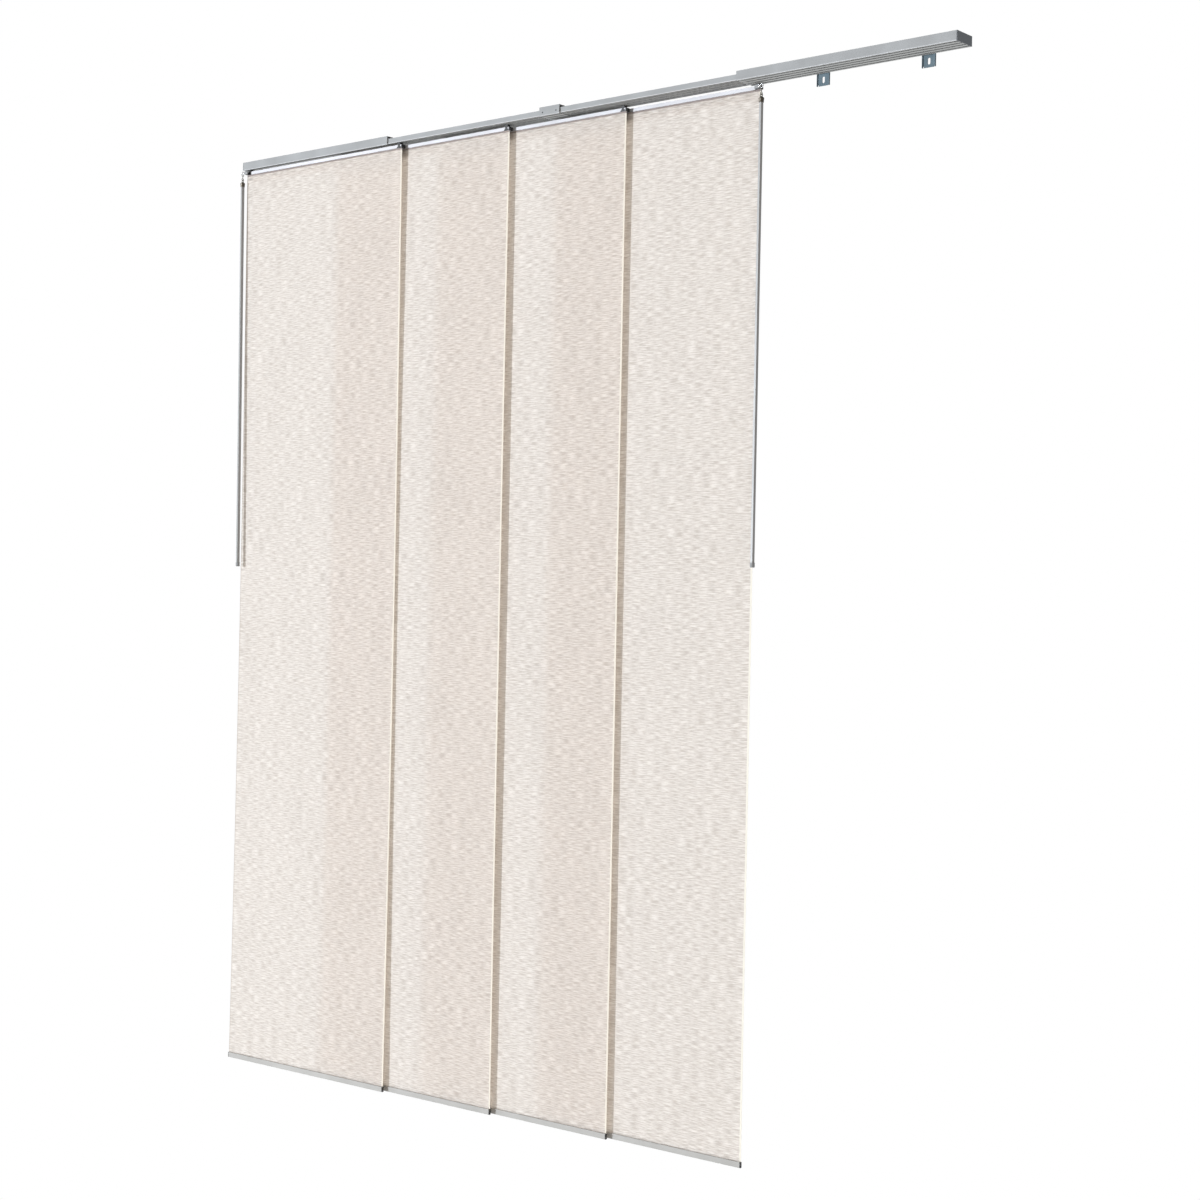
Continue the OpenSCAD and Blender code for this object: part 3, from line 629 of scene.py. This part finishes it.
def hang_panels():
    """Four woven panels in place of the plain sheets, each on its own slide."""
    tree, names = make_panel_tree()
    for k in PANELS:
        low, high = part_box(f"fabric_{k}")
        size = high - low
        middle = (low + high) / 2
        thickness = size.y - SLUB_RELIEF
        back = Vector((middle.x, high.y - SLUB_RELIEF / 2, middle.z))
        piece = grow(f"woven_panel_{k}", tree, names, Width=size.x, Drop=size.z, Thickness=thickness,
                     Columns=FABRIC_COLUMNS, Rows=FABRIC_ROWS, Slub_Length=SLUB_LENGTH,
                     Slub_Height=SLUB_HEIGHT, Relief=SLUB_RELIEF, Bow=PANEL_BOW[k], Seed=SEED_STEP * k,
                     Middle=back, Material=FINISHES["cream_fabric"])
        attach(piece, f"panel_{k}")
        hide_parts(f"fabric_{k}")


def lay_strips():
    """Hook strips on the carriers' blades, behind the top of each panel."""
    tree, names = make_strip_tree()
    for k in PANELS:
        low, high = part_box(f"hook_tape_{k}")
        size = high - low
        ground = size.y * STRIP_BASE_SHARE
        middle = Vector(((low.x + high.x) / 2, high.y - ground / 2, (low.z + high.z) / 2))
        piece = grow(f"hook_strip_{k}", tree, names, Length=size.x, Height=size.z, Ground=ground,
                     Reach=size.y - ground - HOOK_CLEAR, Columns=int(size.x / HOOK_PITCH),
                     Rows=int(size.z / HOOK_PITCH), Pitch=HOOK_PITCH, Stem_Radius=HOOK_STEM_R,
                     Head_Radius=HOOK_HEAD_R, Middle=middle, Material=FINISHES["white_tape"])
        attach(piece, f"panel_{k}")
        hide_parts(f"hook_tape_{k}")


def make_camera():
    """Camera at the photograph's place, turned and rolled as it was."""
    yaw, pitch, roll = (math.radians(a) for a in (CAMERA_YAW, CAMERA_PITCH, CAMERA_ROLL))
    forward = Vector((-math.sin(yaw) * math.cos(pitch), math.cos(yaw) * math.cos(pitch), math.sin(pitch)))
    right = forward.cross(Vector((0, 0, 1))).normalized()
    up = right.cross(forward)
    rolled_right = right * math.cos(roll) + up * math.sin(roll)
    rolled_up = up * math.cos(roll) - right * math.sin(roll)
    camera = bpy.data.objects.new("camera", bpy.data.cameras.new("camera"))
    camera.data.lens = LENS_MM
    camera.data.sensor_width = SENSOR_MM
    camera.data.clip_end = 100.0
    axes = Matrix((rolled_right, rolled_up, -forward)).transposed().to_4x4()
    camera.matrix_world = Matrix.Translation(CAMERA_PLACE) @ axes
    bpy.context.scene.collection.objects.link(camera)
    bpy.context.scene.camera = camera


def make_key_light():
    """Far key light from the front left, almost level, so that each panel shades a strip of the next."""
    light = bpy.data.lights.new("key", "POINT")
    light.energy = KEY_STRENGTH * 4 * math.pi * KEY_DISTANCE ** 2
    light.color = KEY_COLOUR
    light.shadow_soft_size = KEY_DISTANCE * math.tan(math.radians(KEY_SPREAD_DEG / 2))
    left, above = math.radians(KEY_LEFT_DEG), math.radians(KEY_ABOVE_DEG)
    travel = Vector((math.sin(left) * math.cos(above), math.cos(left) * math.cos(above), -math.sin(above)))
    key = bpy.data.objects.new("key", light)
    key.location = (cad_low + cad_high) / 2 - travel * KEY_DISTANCE
    bpy.context.scene.collection.objects.link(key)


def make_top_light():
    """Soft light straight down on the top of the rail; it only grazes the hanging panels."""
    light = bpy.data.lights.new("top", "SUN")
    light.energy = TOP_STRENGTH
    light.angle = math.radians(TOP_SPREAD_DEG)
    bpy.context.scene.collection.objects.link(bpy.data.objects.new("top", light))


def make_surround():
    """White backdrop for the camera; for the object, a soft surround, dimmer on the right and behind."""
    world = bpy.data.worlds.new("studio")
    bpy.context.scene.world = world
    world.use_nodes = True
    tree = world.node_tree
    tree.nodes.clear()
    way = tree.nodes.new("ShaderNodeTexCoord").outputs["Generated"]
    facing = tree.nodes.new("ShaderNodeVectorMath")
    facing.operation = "DOT_PRODUCT"
    fill(tree, facing.inputs[0], way)
    fill(tree, facing.inputs[1], SURROUND_DIM_WAY)
    dim_share = ramp(tree, facing.outputs["Value"], *SURROUND_DIM_RANGE)
    tint = blend_colours(tree, dim_share, (*SURROUND_BRIGHT, 1.0), (*SURROUND_DIM, 1.0))
    backward = put(tree, "ShaderNodeSeparateXYZ", Vector=way).outputs["Y"]
    behind = ramp(tree, backward, *SURROUND_BACK_RANGE)
    backed = blend_colours(tree, behind, tint, (*SURROUND_BACK, 1.0))
    soft = put(tree, "ShaderNodeBackground", Color=backed, Strength=1.0)
    white = put(tree, "ShaderNodeBackground", Color=WHITE, Strength=1.0)
    seen = tree.nodes.new("ShaderNodeLightPath").outputs["Is Camera Ray"]
    both = put(tree, "ShaderNodeMixShader", Fac=seen)
    tree.links.new(soft.outputs["Background"], both.inputs[1])
    tree.links.new(white.outputs["Background"], both.inputs[2])
    outlet = tree.nodes.new("ShaderNodeOutputWorld")
    tree.links.new(both.outputs["Shader"], outlet.inputs["Surface"])


def make_floor():
    """Plain pale floor under the panels, white to the camera and a soft glow for the object."""
    mesh = bpy.data.meshes.new("floor")
    level = cad_low.z - FLOOR_BELOW
    corners = [(-FLOOR_HALF, -FLOOR_HALF, level), (FLOOR_HALF, -FLOOR_HALF, level),
               (FLOOR_HALF, FLOOR_HALF, level), (-FLOOR_HALF, FLOOR_HALF, level)]
    mesh.from_pydata(corners, [], [(0, 1, 2, 3)])
    floor = bpy.data.objects.new("floor", mesh)
    bpy.context.scene.collection.objects.link(floor)
    material = bpy.data.materials.new("pale floor")
    material.use_nodes = True
    tree = material.node_tree
    tree.nodes.clear()
    seen = tree.nodes.new("ShaderNodeLightPath").outputs["Is Camera Ray"]
    glow = put(tree, "ShaderNodeEmission", Color=WHITE,
               Strength=ramp(tree, seen, 0.0, 1.0, FLOOR_GLOW, 1.0, smooth=False))
    outlet = tree.nodes.new("ShaderNodeOutputMaterial")
    tree.links.new(glow.outputs["Emission"], outlet.inputs["Surface"])
    mesh.materials.append(material)


make_camera()
make_key_light()
make_top_light()
make_surround()
make_floor()
dress_nodes()
lay_strips()
hang_panels()

view_settings = bpy.context.scene.view_settings
view_settings.view_transform = "Standard"
